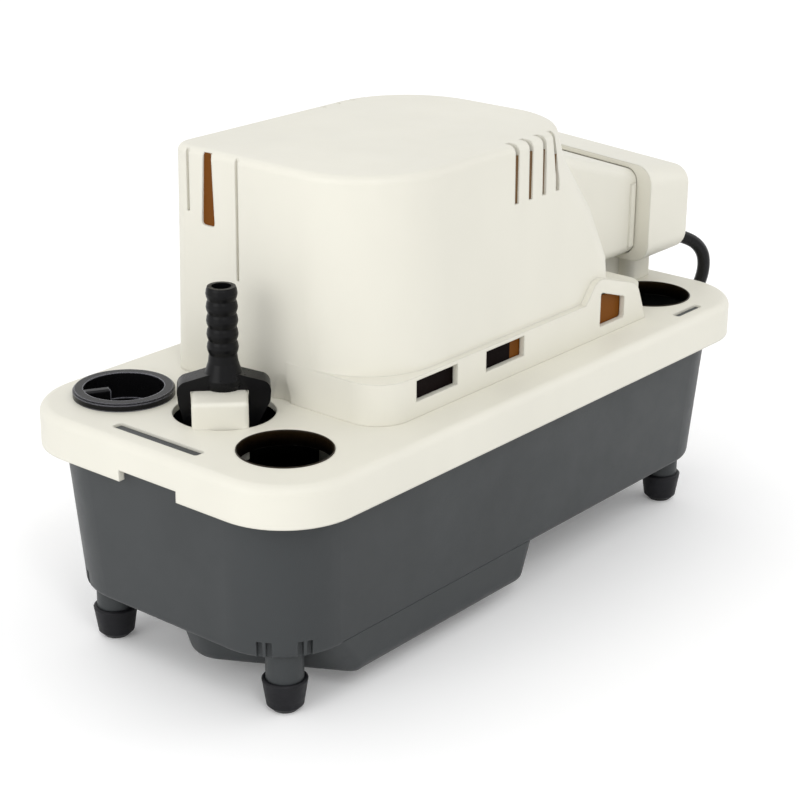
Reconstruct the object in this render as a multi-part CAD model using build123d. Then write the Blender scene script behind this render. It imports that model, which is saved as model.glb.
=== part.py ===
from build123d import *
from math import asin, atan2, cos, degrees, pi, radians, sin, sqrt, tan
import os

# Condensate pump: a tank on four rubber feet, a deck with inlets and a check valve, a motor
# cover, a wiring box with its cord, and the motor, pump and float switch gear inside.
# Millimetres. +X runs from the discharge end to the wiring end, +Z is up, the feet stand on z = 0.

os.makedirs("parts", exist_ok=True)

# ---------------------------------------------------------------- deck, the widest piece
deck_length = 292.0
deck_width = 140.0
deck_corner = 29.0
deck_top = 94.9
deck_plate = 2.5
skirt_wall = 2.5
skirt_depth = 15.2
deck_edge_round = 3.5
deck_under = deck_top - deck_plate
skirt_bottom = deck_top - skirt_depth

skirt_relief_width = 28.0
skirt_relief_height = 4.2
skirt_relief_y = -2.9

latch_slot_width = 4.6
latch_slot_length = 41.6
latch_slot_y = 1.9
latch_slot_inset = 8.1
side_slot_length = 18.0
side_slot_width = 3.4
side_slot_x = 105.0
latch_gap = 0.5
latch_below_deck = 0.8

# ---------------------------------------------------------------- tank
tank_gap = 0.5
tank_wall = 2.4
tank_floor = 24.4
tank_draft = 3.7
rim_lip_end = 1.6
rim_lip_side = 4.0
rim_thickness = 2.5
tank_corner = 28.0
tank_base_round = 2.0

rim_length = deck_length - 2 * (skirt_wall + tank_gap)
rim_width = deck_width - 2 * (skirt_wall + tank_gap)
tank_lean = (deck_under - tank_floor) * tan(radians(tank_draft))
tank_length = rim_length - 2 * rim_lip_end - 2 * tank_lean
tank_width = rim_width - 2 * rim_lip_side - 2 * tank_lean

sump_floor = 8.0
sump_far = 3.0
sump_back = 44.0
sump_shoulder_front = -97.0
sump_shoulder_back = -92.0
sump_nose_x = -128.0
sump_nose_y = -6.0
sump_slope_near = 13.0
sump_slope_far = 5.0
sump_side_lean = 1.0

# ---------------------------------------------------------------- legs and rubber feet
leg_x = 121.6
leg_y = 43.5
leg_radius = 6.9
foot_fit = 0.08
foot_base_radius = 4.6
foot_heel_radius = 6.8
foot_heel_height = 2.2
foot_rim_radius = 8.3
foot_height = 12.6
foot_socket_floor = 4.4
rim_bevel = 0.6
notch_angle = 14.7
notch_width = 2.1
notch_rib = 1.2
notch_depth = 1.5
notch_height = 6.6

# ---------------------------------------------------------------- inlets and plug
inlet_x = deck_length / 2 - 32.5
inlet_y = deck_width / 2 - 32.3
plugged_x = deck_length / 2 - 33.0
plugged_y = deck_width / 2 - 27.0
inlet_radius = 16.9
inlet_collar_wall = 1.2
inlet_collar_depth = 3.0
plug_fit = 0.35
plug_flange_radius = 18.7
plug_flange_height = 3.0
plug_wall = 1.8
plug_depth = 9.0
plug_floor = 1.8
plug_rim_bevel = 0.7
plug_tab_thickness = 3.4
plug_tab_length = 10.0
plug_tab_height = 7.0
plug_tab_turn = -30.0

# ---------------------------------------------------------------- discharge tower and check valve
valve_x = -deck_length / 2 + 44.5
valve_y = 3.0
valve_turn = -45.0
well_radius = 18.7
tower_width = 20.0
tower_shift = -1.6
tower_behind = 9.0
tower_front = 17.6
tower_top = 104.5
tower_drop = 12.0
spigot_radius = 5.9
spigot_fit = 0.1
spigot_end = 91.5
nipple_radius = 3.9
nipple_bore = 2.7
nipple_length = 9.0

bulb_radius = 7.3
bulb_top = 114.0
barb_root_radius = 5.05
barb_crest_radius = 5.7
barb_pitch = 5.0
barb_count = 5
barb_start = 117.0
barb_bore = 3.6
chamber_radius = 4.6
chamber_floor = 96.5
chamber_top = 112.0
seat_radius = 3.0
ring_section = 1.1
ring_groove = 1.4
ring_level = 93.4
ring_fit = 0.02
wing_reach = 17.0
wing_depth = 9.0
wing_thickness = 4.0
wing_foot_level = 88.5
wing_gap = 0.4

poppet_radius = 4.1
poppet_thickness = 1.8
poppet_stem_radius = 1.3
poppet_stem = 8.0
spring_wire = 0.35
spring_radius = 3.0
spring_turns = 5

# ---------------------------------------------------------------- motor cover
cover_near = -80.0
cover_half = 49.5
cover_top = 182.0
cover_wall = 2.3
cover_round = 3.0
drum_radius = 36.0
near_left_radius = 8.0
cover_levels = [deck_top, 125.0, 147.0, 168.0, cover_top]
cover_far_ends = [68.0, 66.5, 60.0, 52.5, 50.0]
cover_far_radii = [8.0, 10.0, 18.0, 33.0, 38.0]
cover_half_extra = [1.6, 0.9, 0.5, 0.2, 0.0]
drum_extra = [-8.0, -4.0, -1.5, 0.0, 0.0]

plinth_top = 110.5
plinth_out = 4.0
plinth_near_radius = 14.0
plinth_far = 86.2
shoulder_start = 43.0
shoulder_top = 120.0
shoulder_knee = 111.2
shoulder_back = -30.0
window_low = 101.0
window_high = 109.0
window_length = 23.6
window_centres = [-50.2, -9.5]
shoulder_window_near = 53.0
shoulder_window_far = 70.0
shoulder_window_low = 99.2
shoulder_window_high = 113.6
shoulder_window_drop = 5.6

vent_width = 2.3
vent_pitch = 8.6
vent_count = 4
vent_first_x = 0.0
vent_low = 160.0
vent_into_top = 5.0
keyhole_y = 30.0
keyhole_low = 154.0
keyhole_high = 181.0
keyhole_wide = 6.5
keyhole_narrow = 4.0
panel_groove_right = 15.5
panel_groove_left = 40.0
panel_groove_left_low = 158
panel_groove_right_low = 136
panel_groove_width = 1.2
panel_groove_depth = 1.0
crease_y = -6.0
crease_radius = 7.0
crease_top = 142.0
boss_radius = 4.2
boss_top = 117.5
boss_web = 2.0
boss_hole = 12.0

# ---------------------------------------------------------------- wiring box
box_near = 44.0
box_far = 139.0
box_front = -29.0
box_back = 40.0
box_floor = 111.0
box_roof = 147.3
box_roof_fall = 0.31
roof_rise = 0.065
box_wall = 2.2
box_round = 5.0
cap_near = 112.5
cap_far = 144.5
cap_front = -36.5
cap_back = 43.0
cap_floor = 108.0
cap_roof = 149.3
cap_roof_fall = 0.166
cap_round = 8.0
cap_fit = 0.3
neck_near = 98.0
neck_far = 139.0
neck_half = 16.0
neck_wall = 2.2
neck_wide_near = 122.0
neck_wide_half = 22.5
box_rib_x = 109.8
box_rib_width = 3.2
box_rib_out = 0.9
cover_gap = 0.4

# ---------------------------------------------------------------- motor
motor_x = -38.0
motor_y = 0.0
shaft_radius = 3.0
bearing_fit = 0.05
stack_low = cover_top - 60.0
stack_thickness = 24.0
stack_width = 58.0
stack_near = -64.0
stack_far = 27.0
rotor_radius = 17.2
air_gap = 0.35
stack_window_near = -13.0
stack_window_far = 12.0
stack_window_width = 34.0
coil_round = 6.0
coil_side = 9.0
coil_fit = 0.3
bracket_thickness = 2.0
bracket_height = 14.0
bracket_width = 16.0
bearing_radius = 6.0
bearing_height = 7.0
fan_radius = 29.0
fan_level = cover_top - 18.5
fan_height = 9.0
fan_blades = 7
shaft_top = cover_top - 9.0
shaft_bottom = 15.6
standoff_radius = 4.5
screw_radius = 1.9
screw_fit = 0.15
screw_head_radius = 3.8
screw_head_height = 2.4
standoff_inset = 5.0

# ---------------------------------------------------------------- pump
impeller_radius = 20.0
impeller_low = 16.4
impeller_disc = 2.0
vane_height = 5.6
vane_count = 6
volute_low = 14.4
volute_height = 12.0
volute_start_radius = 23.0
volute_growth = 2.2
volute_wall = 2.0
volute_cover_plate = 1.8
eye_radius = 9.0
column_radius = 11.0
column_bore = 7.0
duct_bore = 4.0
duct_wall = 1.6
duct_length = 34.0
tube_fit = 0.1
tube_wall = 1.6
tube_bend = 14.0

# ---------------------------------------------------------------- float and switches
pivot_x = 120.0
pivot_z = 80.0
pivot_radius = 2.0
pivot_fit = 0.08
rod_arm = 16.0
rod_radius = 2.5
rod_fit = 0.35
float_near = 26.0
float_length = 56.0
float_half_width = 25.0
float_low = 34.0
float_height = 26.0
float_round = 5.0
float_swing_deg = 20.0
arm_width = 7.0
arm_height = 6.0
bracket_gap = 0.4
bracket_wall = 3.0
rod_foot_gap = 0.25
rod_rise_per_radian = 17.5
crossbar_level = 114.5
crossbar_thickness = 3.0
crossbar_half = 15.0
switch_y = 9.0
switch_length = 28.0
switch_width = 10.5
switch_height = 16.0
plunger_radius = 1.6
plunger_fit = 0.08
plunger_out = 2.2
plunger_travel = 1.2
rod_lift = rod_rise_per_radian * radians(float_swing_deg)

# ---------------------------------------------------------------- cord
cord_diameter = 5.6
cord_route = [
    (152.5, -29.0, 110.8), (160.0, -35.0, 104.0), (161.5, -35.5, 93.0), (160.0, -31.0, 80.0),
    (157.0, -22.0, 60.0), (153.0, -6.0, 38.0), (149.0, 14.0, 18.0), (144.0, 36.0, 5.2),
    (136.0, 58.0, 2.85), (127.0, 78.0, 2.85), (123.0, 97.0, 2.85), (123.2, 113.5, 2.85),
]
relief_start = (130.5, -14.3, 117.7)
relief_length = 21.9
relief_collar_at = 4.0
relief_collar_radius = 5.8
relief_clearance = 0.4
relief_clearance_length = 26
relief_large = 4.6
relief_small = 3.6
relief_bore_gap = 0.05
coil_centre_x = 80.0
coil_centre_y = 118.0
coil_mid_radius = 33.6
coil_columns = 4.5
coil_layers = 2
plug_offset_x = -15.0
plug_offset_y = coil_mid_radius
plug_body_length = 42.0
plug_body_width = 26.0
plug_body_height = 20.0
blade_length = 16.0


def rounded(length, width, radius, level, x=0.0, y=0.0):
    """A rounded rectangle lying at one level."""
    return Pos(x, y, level) * RectangleRounded(length, width, radius)


def outline(points, radii, level):
    """A closed outline with rounded corners, lying at one level."""
    loop = FilletPolyline(*points, radius=radii, close=True)
    return Pos(0, 0, level) * make_face(loop.edges())


def box(x0, x1, y0, y1, z0, z1):
    """A plain block between two corners."""
    return Pos((x0 + x1) / 2, (y0 + y1) / 2, (z0 + z1) / 2) * Box(x1 - x0, y1 - y0, z1 - z0)


def post(x, y, radius, low, high):
    """An upright cylinder between two levels."""
    return Pos(x, y, (low + high) / 2) * Cylinder(radius, high - low)


def turned(points, x, y):
    """A solid of revolution about an upright axis, from radius and level pairs."""
    profile = make_face(Polyline(*[(r, 0, z) for r, z in points], close=True).edges())
    return Pos(x, y, 0) * revolve(profile, Axis.Z)


def side_profile(points, radii, y0, y1):
    """A profile drawn in X and Z, and extruded from y0 to y1."""
    loop = FilletPolyline(*[(x, z) for x, z in points], radius=radii, close=True)
    face = Plane.XZ * make_face(loop.edges())
    return Pos(0, y1, 0) * extrude(face, amount=y1 - y0)


# ================================================================ tank
def sump_outline(level, inset):
    """The deep end of the tank: flush with the front wall, with a blunt nose to the near end."""
    rise = (level - sump_floor) / (tank_floor - sump_floor)
    front = -(tank_width / 2 - sump_side_lean + rise * sump_side_lean) + inset
    near = rise * sump_slope_near
    far = rise * sump_slope_far
    points = [
        (sump_shoulder_front - near + inset / 2, front),
        (sump_far + far - inset, front),
        (sump_far + far - inset, sump_back + far - inset),
        (sump_shoulder_back - far + inset / 2, sump_back + far - inset),
        (sump_nose_x - far + inset, sump_nose_y),
    ]
    return outline(points, [7.0, 7.0, 8.0, 16.0, 13.0], level)


def corner_signs():
    return [(-1, -1), (-1, 1), (1, -1), (1, 1)]


def make_tank():
    floor_inside = tank_floor + tank_wall
    shell = loft([
        rounded(tank_length, tank_width, tank_corner, tank_floor),
        rounded(tank_length + 2 * tank_lean, tank_width + 2 * tank_lean, tank_corner, deck_under),
    ], ruled=True)
    shell = fillet(shell.edges().group_by(Axis.Z)[0], tank_base_round)
    shell += extrude(rounded(rim_length, rim_width, deck_corner - skirt_wall - tank_gap,
                             deck_under - rim_thickness), rim_thickness)
    sump = loft([sump_outline(sump_floor, 0), sump_outline(tank_floor + 1, 0)], ruled=True)
    shell += fillet(sump.edges().group_by(Axis.Z)[0], 5.0)
    for sx, sy in corner_signs():
        shell += post(sx * leg_x, sy * leg_y, leg_radius, foot_socket_floor + 0.1, tank_floor + 1)
    inner_lean = (floor_inside - tank_floor) * tan(radians(tank_draft))
    hollow = loft([
        rounded(tank_length + 2 * inner_lean - 2 * tank_wall,
                tank_width + 2 * inner_lean - 2 * tank_wall, tank_corner - tank_wall, floor_inside),
        rounded(tank_length + 2 * tank_lean - 2 * tank_wall,
                tank_width + 2 * tank_lean - 2 * tank_wall, tank_corner - tank_wall, deck_under),
    ], ruled=True)
    well = loft([sump_outline(sump_floor + tank_wall, tank_wall),
                 sump_outline(floor_inside + 1, tank_wall)], ruled=True)
    shell = shell - hollow - fillet(well.edges().group_by(Axis.Z)[0], 3.0)
    return shell + latch_tongues() - corner_notches()


def latch_tongues():
    """Snap tongues on the tank's rim that stand in the deck's slots."""
    slot_x = -deck_length / 2 + latch_slot_inset + latch_slot_width / 2
    near = slot_x - latch_slot_width / 2 + latch_gap
    far = slot_x + latch_slot_width / 2 - latch_gap
    half = latch_slot_length / 2 - latch_gap
    wall_x = -(tank_length / 2 + tank_lean) + tank_wall / 2
    top = deck_top - latch_below_deck
    ledge = box(wall_x, far, latch_slot_y - half, latch_slot_y + half,
                deck_under - rim_thickness, deck_under)
    tongue = box(near, far, latch_slot_y - half, latch_slot_y + half, deck_under, top)
    side_y = side_slot_y()
    half_side = side_slot_length / 2 - latch_gap
    side = box(side_slot_x - half_side, side_slot_x + half_side,
               side_y - side_slot_width / 2 + latch_gap, side_y + side_slot_width / 2 - latch_gap,
               deck_under - rim_thickness, top)
    return ledge + tongue + side


def side_slot_y():
    return -(tank_width / 2 + tank_lean) + tank_wall / 2


def corner_notches():
    """Paired pockets beside each leg, low on the tank's corners."""
    pockets = []
    arc_x = tank_length / 2 - tank_corner
    arc_y = tank_width / 2 - tank_corner
    step = degrees((notch_width + notch_rib) / 2 / tank_corner)
    for sx, sy in corner_signs():
        middle = degrees(atan2(sy, sx))
        for side in (-notch_angle, notch_angle):
            for half in (-step, step):
                turn = middle + side + half
                place = Pos(sx * arc_x, sy * arc_y, tank_floor + notch_height / 2 - 1.0)
                block = Box(2 * notch_depth, notch_width, notch_height + 2.0)
                pockets.append(place * Rot(0, 0, turn) * Pos(tank_corner, 0, 0) * block)
    return pockets


def make_foot(sx, sy):
    bore = leg_radius + foot_fit
    points = [
        (0, 0), (foot_base_radius, 0), (foot_heel_radius, foot_heel_height),
        (foot_rim_radius, foot_height - rim_bevel), (foot_rim_radius - rim_bevel, foot_height),
        (bore, foot_height), (bore, foot_socket_floor), (0, foot_socket_floor),
    ]
    return turned(points, sx * leg_x, sy * leg_y)


# ================================================================ deck
def inlet_places():
    """The two open inlets."""
    return [(-inlet_x, -inlet_y), (inlet_x, -inlet_y)]


def tower_frame():
    """The tower's own frame: X across it, Y away from its front."""
    return Pos(valve_x, valve_y, 0) * Rot(0, 0, valve_turn)


def make_deck():
    deck = extrude(rounded(deck_length, deck_width, deck_corner, skirt_bottom), skirt_depth)
    deck = fillet(deck.edges().group_by(Axis.Z)[-1], deck_edge_round)
    deck -= extrude(rounded(deck_length - 2 * skirt_wall, deck_width - 2 * skirt_wall,
                            deck_corner - skirt_wall, skirt_bottom), skirt_depth - deck_plate)
    collar = inlet_radius + inlet_collar_wall
    for x, y in inlet_places():
        deck += post(x, y, collar, deck_under - inlet_collar_depth, deck_under)
        deck -= post(x, y, inlet_radius, deck_under - inlet_collar_depth, deck_top)
    deck -= post(-plugged_x, plugged_y, inlet_radius, deck_under - 1, deck_top)
    well = post(valve_x, valve_y, well_radius, deck_under - 1, deck_top + 1)
    block = tower_frame() * box(tower_shift - tower_width / 2, tower_shift + tower_width / 2,
                                -tower_front, tower_behind,
                                deck_top - tower_drop, tower_top)
    crown = block.faces().sort_by(Axis.Z)[-1]
    block = fillet(crown.edges() + block.edges().filter_by(Axis.Z), 1.5)
    deck = deck - well + block
    nipple_end = deck_top - tower_drop - nipple_length
    deck += post(valve_x, valve_y, nipple_radius, nipple_end, deck_top - tower_drop)
    deck -= post(valve_x, valve_y, nipple_bore, nipple_end, tower_top)
    deck -= post(valve_x, valve_y, spigot_radius + spigot_fit, spigot_end - 0.3, tower_top)
    slot_x = -deck_length / 2 + latch_slot_inset + latch_slot_width / 2
    deck -= Pos(slot_x, latch_slot_y, deck_under) * extrude(
        RectangleRounded(latch_slot_width, latch_slot_length, 1.2), deck_plate)
    deck -= Pos(side_slot_x, side_slot_y(), deck_under) * extrude(
        RectangleRounded(side_slot_length, side_slot_width, 1.2), deck_plate)
    deck -= box(-deck_length / 2 - 1, -deck_length / 2 + skirt_wall + 1,
                skirt_relief_y - skirt_relief_width / 2, skirt_relief_y + skirt_relief_width / 2,
                skirt_bottom - 1, skirt_bottom + skirt_relief_height)
    deck -= post(motor_x, motor_y, column_bore, deck_under, deck_top)
    deck -= post(pivot_x - rod_arm, 0, rod_radius + rod_fit, deck_under, deck_top)
    for x, y in cover_screw_places():
        deck -= post(x, y, screw_radius + screw_fit, deck_under, deck_top)
    for side in (-1, 1):
        inner = side * (arm_width / 2 + bracket_gap)
        outer = side * (arm_width / 2 + bracket_gap + bracket_wall)
        ear = box(pivot_x - 6, pivot_x + 6, min(inner, outer), max(inner, outer),
                  pivot_z - 5, deck_under)
        deck += fillet(ear.edges().filter_by(Axis.Y).group_by(Axis.Z)[0], 4.0)
    deck -= Pos(pivot_x, 0, pivot_z) * Rot(90, 0, 0) * Cylinder(pivot_radius, 30)
    return deck


def make_inlet_plug():
    """A cup that drops into the spare inlet, with a rim above the deck and a pull tab."""
    outer = inlet_radius - plug_fit
    top = deck_top + plug_flange_height
    floor = deck_top - plug_depth
    cup = turned([
        (0, floor), (outer - 0.8, floor), (outer, floor + 0.8), (outer, deck_top),
        (plug_flange_radius, deck_top), (plug_flange_radius, top - plug_rim_bevel),
        (plug_flange_radius - plug_rim_bevel, top), (outer - plug_wall, top),
        (outer - plug_wall, floor + plug_floor), (0, floor + plug_floor),
    ], -plugged_x, plugged_y)
    reach = outer - plug_wall + 0.4
    tab = box(-plugged_x - reach, -plugged_x - reach + plug_tab_length,
              plugged_y - plug_tab_thickness / 2, plugged_y + plug_tab_thickness / 2,
              top - plug_tab_height, top)
    tab = fillet(tab.edges().group_by(Axis.Z)[-1], 0.8)
    middle = Pos(-plugged_x, plugged_y, 0)
    return cup + middle * Rot(0, 0, plug_tab_turn) * Pos(plugged_x, -plugged_y, 0) * tab


# ================================================================ check valve
def make_check_valve():
    """Spigot, bulb and barbed spout turned in one, with a saddle whose wings straddle the tower."""
    barb_top = barb_start + barb_pitch * barb_count
    points = [(seat_radius, spigot_end), (spigot_radius, spigot_end)]
    groove = spigot_radius - ring_section
    points += [
        (spigot_radius, ring_level - ring_groove / 2), (groove, ring_level - ring_groove / 2),
        (groove, ring_level + ring_groove / 2), (spigot_radius, ring_level + ring_groove / 2),
        (spigot_radius, tower_top), (bulb_radius - 0.6, tower_top), (bulb_radius, tower_top + 1.8),
        (bulb_radius, tower_top + 3.6), (bulb_radius - 0.9, bulb_top - 3.0),
        (barb_root_radius + 0.4, bulb_top), (barb_root_radius, barb_start),
    ]
    for n in range(barb_count):
        low = barb_start + n * barb_pitch
        points += [
            (barb_crest_radius - 0.15, low + 0.30 * barb_pitch),
            (barb_crest_radius, low + 0.5 * barb_pitch),
            (barb_crest_radius - 0.25, low + 0.8 * barb_pitch),
            (barb_root_radius, low + barb_pitch),
        ]
    points += [
        (barb_bore, barb_top), (barb_bore, chamber_top), (chamber_radius, chamber_top),
        (chamber_radius, chamber_floor), (seat_radius, chamber_floor),
    ]
    body = turned(points, valve_x, valve_y)
    saddle = wing(1) + wing(-1)
    keep_out = post(valve_x, valve_y, bulb_radius - 1.0, spigot_end, bulb_top)
    return body + (saddle - keep_out)


def wing(side):
    """One wing: out from the bulb, round, and down past the tower into the well."""
    foot_in = tower_width / 2 + side * tower_shift + wing_gap
    low = tower_top
    points = [
        (bulb_radius - 2.5, low), (foot_in, low), (foot_in, wing_foot_level),
        (foot_in + 1.6, wing_foot_level), (wing_reach - 0.6, low - 4.5), (wing_reach, low + 2.5),
        (bulb_radius - 2.5, low + wing_thickness + 2.0),
    ]
    strip = side_profile(points, [0, 0.6, 0, 0.6, 3.0, 4.0, 0],
                         -wing_depth / 2, wing_depth / 2)
    if side < 0:
        strip = mirror(strip, Plane.YZ)
    return tower_frame() * strip


def make_seal_ring():
    ring = Torus(spigot_radius - ring_section / 2 + ring_fit, ring_section / 2)
    return Pos(valve_x, valve_y, ring_level) * ring


def make_poppet():
    low = chamber_floor
    return turned([
        (0, low), (poppet_radius, low), (poppet_radius, low + poppet_thickness),
        (poppet_stem_radius, low + poppet_thickness),
        (poppet_stem_radius, low + poppet_thickness + poppet_stem),
        (0, low + poppet_thickness + poppet_stem),
    ], valve_x, valve_y)


def make_valve_spring():
    """A light coil spring between the poppet and the shoulder of the chamber."""
    low = chamber_floor + poppet_thickness + spring_wire + 0.02
    high = chamber_top - spring_wire - 0.02
    path = Helix(pitch=(high - low) / spring_turns, height=high - low, radius=spring_radius + 0.9)
    section = Plane(origin=path @ 0, z_dir=path % 0) * Circle(spring_wire)
    return Pos(valve_x, valve_y, low) * sweep(section, path=path, is_frenet=True)


# ================================================================ motor cover
def cover_section(n, inset):
    """One level of the cover: a tight near-left corner, the drum, and a far end that draws in."""
    half = cover_half + cover_half_extra[n] - inset
    near = cover_near - cover_half_extra[n] / 2 + inset
    far = cover_far_ends[n] - inset
    drum = drum_radius + drum_extra[n] - inset
    corner = cover_far_radii[n] - inset
    points = [(near, half), (near, -half), (far, -half), (far, half)]
    return points, [near_left_radius - inset, drum, corner, corner]


def cover_form(inset, top):
    sections = []
    for n, level in enumerate(cover_levels):
        points, radii = cover_section(n, inset)
        sections.append(outline(points, radii, min(level, top)))
    return loft(sections, ruled=True)


def plinth_form(inset):
    """The base ledge along the front, with a raised shoulder towards the far inlet."""
    front = -(cover_half + plinth_out) + inset
    near = cover_near - 0.8 + inset
    far = plinth_far - inset
    top = plinth_top - inset
    ledge = extrude(outline(
        [(near, -8), (near, front), (far, front), (far, shoulder_back - inset), (40, -8)],
        [0, plinth_near_radius - inset, 9.0 - inset, 4.0, 0], deck_top), top - deck_top)
    high = shoulder_top - inset
    shoulder = side_profile([
        (shoulder_start - 12 + inset, deck_top), (shoulder_start + inset, top),
        (shoulder_start + 8, high), (far - 7, shoulder_knee - inset), (far, deck_top),
    ], [0, 5.0, 7.0, 8.0, 0], front, shoulder_back - inset)
    return ledge + shoulder


def cover_screw_places():
    """Where screws come up through the deck into the cover's bosses."""
    return [(60.0, -44.0), (-70.0, 36.0), (44.0, 36.0)]


def make_motor_cover():
    outer = cover_form(0, cover_top)
    outer = fillet(outer.edges().group_by(Axis.Z)[-1], cover_round)
    cover = outer + plinth_form(0)
    cover -= cover_form(cover_wall, cover_top - cover_wall)
    cover -= plinth_form(cover_wall)
    for x, y in cover_screw_places():
        side = cover_half if y > 0 else -cover_half
        boss = post(x, y, boss_radius, deck_top, boss_top)
        boss += box(x - boss_web / 2, x + boss_web / 2, min(y, side), max(y, side), deck_top, boss_top)
        cover += boss - post(x, y, screw_radius, deck_top, deck_top + boss_hole)
    front = -(cover_half + plinth_out)
    for x in window_centres:
        cover -= box(x - window_length / 2, x + window_length / 2, front - 1,
                     front + cover_wall + 0.6, window_low, window_high)
    cover -= side_profile([
        (shoulder_window_near, shoulder_window_low), (shoulder_window_far, shoulder_window_low),
        (shoulder_window_far, shoulder_window_high - shoulder_window_drop),
        (shoulder_window_near, shoulder_window_high),
    ], [1, 1, 1, 1], front - 1, front + cover_wall + 0.6)
    for n in range(vent_count):
        x = vent_first_x + n * vent_pitch
        edge = cover_half - vent_into_top
        for side in (-1, 1):
            low, high = sorted((side * edge, side * (cover_half + 6)))
            cover -= box(x - vent_width / 2, x + vent_width / 2, low, high, vent_low, cover_top + 1)
    return cover - keyhole() - panel_grooves() - crease()


def keyhole():
    """A tapered slot high in the near wall, narrow end up."""
    wide = keyhole_wide / 2
    narrow = keyhole_narrow / 2
    loop = FilletPolyline(
        (keyhole_y - wide, keyhole_low), (keyhole_y + wide, keyhole_low),
        (keyhole_y + narrow, keyhole_high), (keyhole_y - narrow, keyhole_high),
        radius=[1.2, 1.2, 1.2, 1.2], close=True)
    face = Plane.YZ * make_face(loop.edges())
    return Pos(cover_near - 3, 0, 0) * extrude(face, amount=cover_wall + 6)


def panel_grooves():
    right = box(cover_near - 2, cover_near + panel_groove_depth,
                panel_groove_right - panel_groove_width / 2,
                panel_groove_right + panel_groove_width / 2, panel_groove_right_low, cover_top + 1)
    left = box(cover_near - 2, cover_near + panel_groove_depth,
               panel_groove_left - panel_groove_width / 2,
               panel_groove_left + panel_groove_width / 2, panel_groove_left_low, cover_top + 1)
    return right + left


def crease():
    """A shallow flute where the near wall meets the drum, deepest at the base."""
    height = crease_top - deck_top
    cone = Cone(crease_radius, 0.3, height)
    return Pos(cover_near - crease_radius + 0.9, crease_y, deck_top + height / 2) * cone


# ================================================================ wiring box
def roof_cut(front, level, fall, inset):
    """All that lies above a roof that falls along X from cap_near and rises along Y."""
    frame = Plane(origin=(cap_near, front, level - inset), z_dir=(fall, -roof_rise, 1))
    return frame * Pos(0, 0, cover_top / 2) * Box(2 * deck_length, 2 * deck_length, cover_top)


def lengthwise(form):
    return form.edges().filter_by(lambda e: abs((e % 0.5).X) > 0.8)


def box_form(inset, far):
    """The box body, its roof falling away to the far end."""
    form = box(box_near, far, box_front + inset, box_back - inset, box_floor + inset, cover_top)
    form -= roof_cut(box_front, box_roof, box_roof_fall, inset)
    return fillet(lengthwise(form), box_round - inset)


def neck_form(inset):
    """The hollow neck that carries the wiring box on the deck, wider at its far end."""
    height = cap_floor - cap_fit - deck_top
    narrow = rounded(neck_far - neck_near - 2 * inset, 2 * (neck_half - inset),
                     5.0 - inset, deck_top, (neck_near + neck_far) / 2)
    wide = rounded(neck_far - neck_wide_near - 2 * inset, 2 * (neck_wide_half - inset),
                   4.0 - inset, deck_top, (neck_wide_near + neck_far) / 2)
    return extrude(narrow, height) + extrude(wide, height)


def neck_blocks(spread, low, high):
    """Square blocks round the neck's two parts, grown by the spread."""
    far = neck_far + spread
    narrow = box(neck_near, far, -neck_half - spread, neck_half + spread, low, high)
    wide = box(neck_wide_near - spread, far, -neck_wide_half - spread, neck_wide_half + spread,
               low, high)
    return narrow + wide


def make_wiring_box(cover_outer):
    shell = box_form(0, box_far) - box_form(box_wall, box_far + 1)
    shell += neck_form(0)
    shell += neck_blocks(0, cap_floor - 1, box_floor + 0.5)
    shell -= neck_form(neck_wall)
    shell += box(box_rib_x - box_rib_width / 2, box_rib_x + box_rib_width / 2,
                 box_front - box_rib_out, box_front + 0.5, box_floor + 4, box_roof - 5)
    shell -= post(pivot_x - rod_arm, 0, rod_radius + rod_fit, deck_top, box_floor + box_wall)
    clearance = Cylinder(relief_collar_radius + relief_clearance, relief_clearance_length)
    shell -= relief_frame() * Pos(0, 0, 2 * relief_collar_at) * clearance
    return shell - Pos(cover_gap, 0, 0) * cover_outer


def cap_form(inset):
    """The bulged end cap, its roof falling towards the front."""
    form = box(cap_near + inset, cap_far - inset, cap_front + inset, cap_back - inset,
               cap_floor + inset, cover_top)
    form -= roof_cut(cap_front, cap_roof, cap_roof_fall, inset)
    form = fillet(lengthwise(form), cap_round - inset)
    return fillet(form.faces().sort_by(Axis.X)[-1].edges(), 3.5 - inset / 2)


def relief_frame():
    """At the relief's inner end, Z along the cord's way out."""
    start = Vector(*relief_start)
    return Plane(origin=start, z_dir=Vector(*cord_route[0]) - start)


def make_end_cap():
    cap = cap_form(0) - cap_form(box_wall)
    cap -= box_form(-cap_fit, cap_near + box_wall + 3)
    cap -= neck_blocks(cap_fit, cap_floor - 1, box_floor + 0.5)
    return cap - relief_frame() * Pos(0, 0, 10) * Cylinder(relief_large + 0.05, 20)


# ================================================================ motor
def stack_screw_places():
    xs = (stack_near + standoff_inset, stack_far - standoff_inset)
    ys = (-stack_width / 2 + standoff_inset, stack_width / 2 - standoff_inset)
    return [(x, y) for x in xs for y in ys]


def make_stator():
    high = stack_low + stack_thickness
    stack = box(stack_near, stack_far, -stack_width / 2, stack_width / 2, stack_low, high)
    stack = fillet(stack.edges().filter_by(Axis.Z), 3.0)
    stack -= box(stack_window_near, stack_window_far, -stack_window_width / 2,
                 stack_window_width / 2, stack_low, high)
    stack -= post(motor_x, motor_y, rotor_radius + air_gap, stack_low, high)
    for side in (-1, 1):
        gap_y = motor_y + side * (rotor_radius + air_gap + 3.5)
        stack -= post(motor_x + side * 12, gap_y - side * 2, 2.0, stack_low, high)
    for x, y in stack_screw_places():
        stack -= post(x, y, screw_radius + screw_fit, stack_low, high)
    for side in (-1, 1):
        stack -= post(motor_x, side * bracket_screw_y(), screw_radius + screw_fit, stack_low, high)
    return stack


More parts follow.
